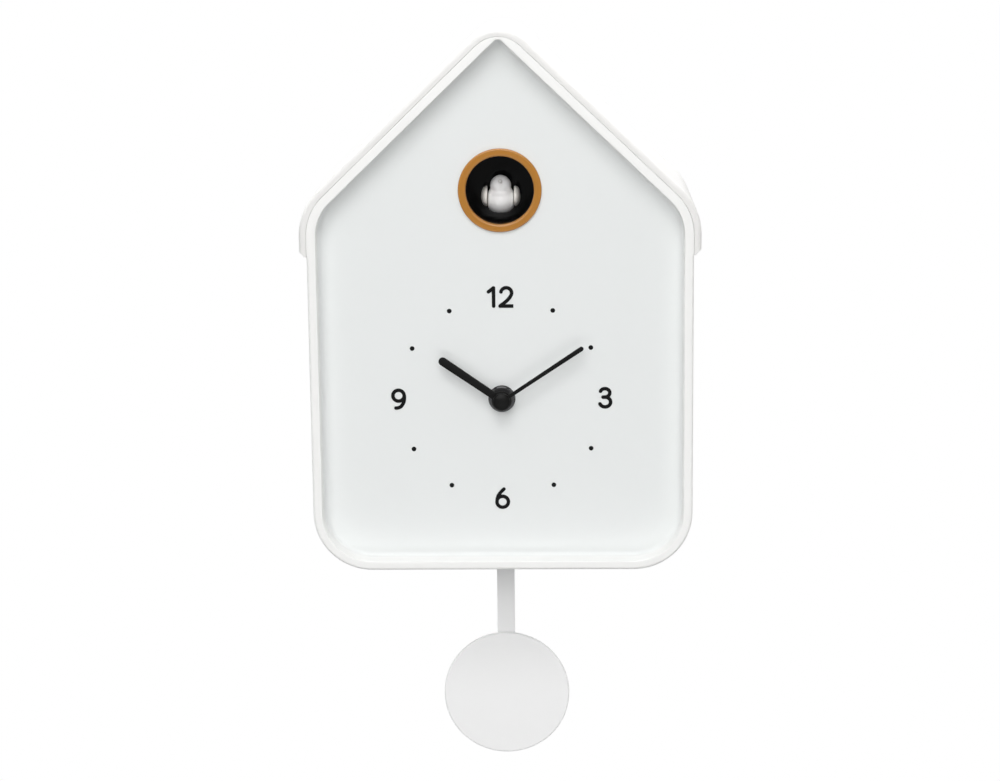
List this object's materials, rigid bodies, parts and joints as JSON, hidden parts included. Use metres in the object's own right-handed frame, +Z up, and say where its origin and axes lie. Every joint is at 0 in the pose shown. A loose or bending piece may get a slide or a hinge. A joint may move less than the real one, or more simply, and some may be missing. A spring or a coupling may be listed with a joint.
{
  "type": "cuckoo clock",
  "caption": "House-shaped wall clock with a recessed dial, a bird that slides out of a round opening and a swinging disc pendulum below.",
  "frame": {"origin": "middle of the round part of the hanging keyhole, on the wall face of the back cover", "axes": "+Z up, +Y into the wall, so the dial faces -Y, and +X to the right of a person who looks at the dial"},
  "size_m": [0.216, 0.105, 0.4185],
  "materials": {
    "shell_white": "smooth satin-gloss white",
    "roof_white": "smooth satin-gloss white",
    "back_white": "fine moulded texture, white",
    "steel": "zinc plated steel",
    "amber": "gloss amber gold",
    "gloss_black": "gloss black",
    "dark_lens": "dark clear resin",
    "bird_white": "smooth white",
    "beak_grey": "pale grey",
    "wing_cream": "smooth cream white",
    "grey_nylon": "grey nylon",
    "ivory_nylon": "ivory acetal",
    "brass": "turned brass",
    "bright_metal": "nickel plate",
    "movement_black": "fine moulded texture, black",
    "washer_black": "black rubber",
    "nut_steel": "dark nickel plate",
    "hand_black": "satin black paint",
    "knob_grey": "dark grey",
    "copper_wire": "enamelled copper wire",
    "board_green": "solder mask green",
    "component_black": "dark moulded and pressed parts",
    "pendulum_grey": "satin pale grey white",
    "cell_jacket": "plain printed steel can",
    "wire_sheath": "red insulation"
  },
  "bodies": {
    "housing": {"front_shell": "shell_white", "roof_cover": "roof_white", "back_cover": "back_white", "cover_screws": "steel", "roof_screws": "steel", "opening_ring": "amber", "niche_sleeve": "gloss_black", "niche_backplate": "gloss_black", "niche_screws": "steel", "light_sensor": "dark_lens", "bird_rail": "grey_nylon", "mechanism_frame": "grey_nylon", "mechanism_screws": "steel", "bird_motor": "bright_metal", "movement_case": "movement_black", "movement_lid": "movement_black", "dial_washer": "washer_black", "dial_nut": "nut_steel", "stator": "steel", "stepper_coil": "copper_wire", "movement_board": "board_green", "driver_case": "movement_black", "driver_lid": "movement_black", "driver_board": "board_green", "pendulum_coil": "copper_wire", "driver_screws": "steel", "pivot_pin": "steel", "pivot_clip": "grey_nylon", "main_board": "board_green", "board_parts": "component_black", "board_screws": "steel", "speaker": "component_black", "battery_cells": "cell_jacket", "battery_contacts": "bright_metal", "wires": "wire_sheath"},
    "minute_hand": {"minute_hand": "hand_black", "hand_cap": "hand_black", "centre_wheel": "brass"},
    "hour_hand": {"hour_hand": "hand_black", "hour_wheel": "ivory_nylon"},
    "motion_wheel": {"minute_wheel": "ivory_nylon", "setting_knob": "knob_grey"},
    "third_wheel": {"third_wheel": "ivory_nylon"},
    "seconds_wheel": {"seconds_wheel": "ivory_nylon"},
    "fifth_wheel": {"fifth_wheel": "ivory_nylon"},
    "rotor": {"rotor": "bright_metal"},
    "bird": {"bird_body": "bird_white", "bird_beak": "beak_grey", "bird_carriage": "grey_nylon"},
    "left_wing": {"bird_wing_left": "wing_cream"},
    "right_wing": {"bird_wing_right": "wing_cream"},
    "bird_drive": {"bird_drive_gear": "ivory_nylon"},
    "motor_shaft": {"motor_pinion": "brass"},
    "pendulum": {"pendulum_arm": "grey_nylon", "pendulum_magnet": "bright_metal", "pendulum_rod": "pendulum_grey", "pendulum_bob": "pendulum_grey"},
    "battery_door": {"battery_door": "back_white"},
    "volume_slider": {"volume_slider": "knob_grey"},
    "test_button": {"test_button": "knob_grey"}
  },
  "joints": [
    {"name": "minute_hand_turn", "type": "hinge", "parent": "housing", "child": "minute_hand", "pos_m": [0, -0.085, -0.155], "axis": [0, 1, 0], "continuous": true},
    {"name": "hour_hand_turn", "type": "hinge", "parent": "housing", "child": "hour_hand", "pos_m": [0, -0.085, -0.155], "axis": [0, 1, 0], "continuous": true},
    {"name": "setting_knob_turn", "type": "hinge", "parent": "housing", "child": "motion_wheel", "pos_m": [-0.00849, -0.085, -0.14651], "axis": [0, 1, 0], "continuous": true},
    {"name": "third_wheel_turn", "type": "hinge", "parent": "housing", "child": "third_wheel", "pos_m": [0.01031, -0.085, -0.16095], "axis": [0, 1, 0], "continuous": true},
    {"name": "seconds_wheel_turn", "type": "hinge", "parent": "housing", "child": "seconds_wheel", "pos_m": [0.00661, -0.085, -0.1711], "axis": [0, 1, 0], "continuous": true},
    {"name": "fifth_wheel_turn", "type": "hinge", "parent": "housing", "child": "fifth_wheel", "pos_m": [-0.00373, -0.085, -0.16928], "axis": [0, 1, 0], "continuous": true},
    {"name": "rotor_turn", "type": "hinge", "parent": "housing", "child": "rotor", "pos_m": [-0.01152, -0.085, -0.16478], "axis": [0, 1, 0], "continuous": true},
    {"name": "bird_slide", "type": "slide", "parent": "housing", "child": "bird", "axis": [0, -1, 0], "range_m": [0, 0.026]},
    {"name": "left_wing_flap", "type": "hinge", "parent": "bird", "child": "left_wing", "pos_m": [-0.008, -0.075, -0.0435], "axis": [1, 0, 0], "range_deg": [0, 30]},
    {"name": "right_wing_flap", "type": "hinge", "parent": "bird", "child": "right_wing", "pos_m": [0.008, -0.075, -0.0435], "axis": [1, 0, 0], "range_deg": [0, 30]},
    {"name": "bird_drive_turn", "type": "hinge", "parent": "housing", "child": "bird_drive", "pos_m": [0, -0.034, -0.0563], "axis": [1, 0, 0], "range_deg": [0, 312]},
    {"name": "motor_shaft_turn", "type": "hinge", "parent": "housing", "child": "motor_shaft", "pos_m": [0.006, -0.034, -0.0698], "axis": [1, 0, 0], "range_deg": [-1370, 0]},
    {"name": "pendulum_swing", "type": "hinge", "parent": "housing", "child": "pendulum", "pos_m": [0, -0.055, -0.185], "axis": [0, 1, 0], "range_deg": [-8, 8]},
    {"name": "battery_door_hinge", "type": "hinge", "parent": "housing", "child": "battery_door", "pos_m": [0.049, -0.001, -0.1774], "axis": [1, 0, 0], "range_deg": [0, 100]},
    {"name": "volume_slide", "type": "slide", "parent": "housing", "child": "volume_slider", "axis": [1, 0, 0], "range_m": [-0.004, 0.004]},
    {"name": "test_button_press", "type": "slide", "parent": "housing", "child": "test_button", "axis": [0, -1, 0], "range_m": [0, 0.0012], "stiffness_N_per_m": 250, "springref_m": -0.002}
  ],
  "couplings": [
    {"joint": "hour_hand_turn", "follows": "minute_hand_turn", "ratio": 0.083333},
    {"joint": "setting_knob_turn", "follows": "minute_hand_turn", "ratio": -0.33333},
    {"joint": "third_wheel_turn", "follows": "minute_hand_turn", "ratio": -7.5},
    {"joint": "seconds_wheel_turn", "follows": "minute_hand_turn", "ratio": 60},
    {"joint": "fifth_wheel_turn", "follows": "minute_hand_turn", "ratio": -360},
    {"joint": "rotor_turn", "follows": "minute_hand_turn", "ratio": 1800},
    {"joint": "left_wing_flap", "follows": "bird_slide", "rad_per_m": 20},
    {"joint": "right_wing_flap", "follows": "bird_slide", "rad_per_m": 20},
    {"joint": "bird_drive_turn", "follows": "bird_slide", "rad_per_m": 208.33},
    {"joint": "motor_shaft_turn", "follows": "bird_slide", "rad_per_m": -916.67}
  ]
}
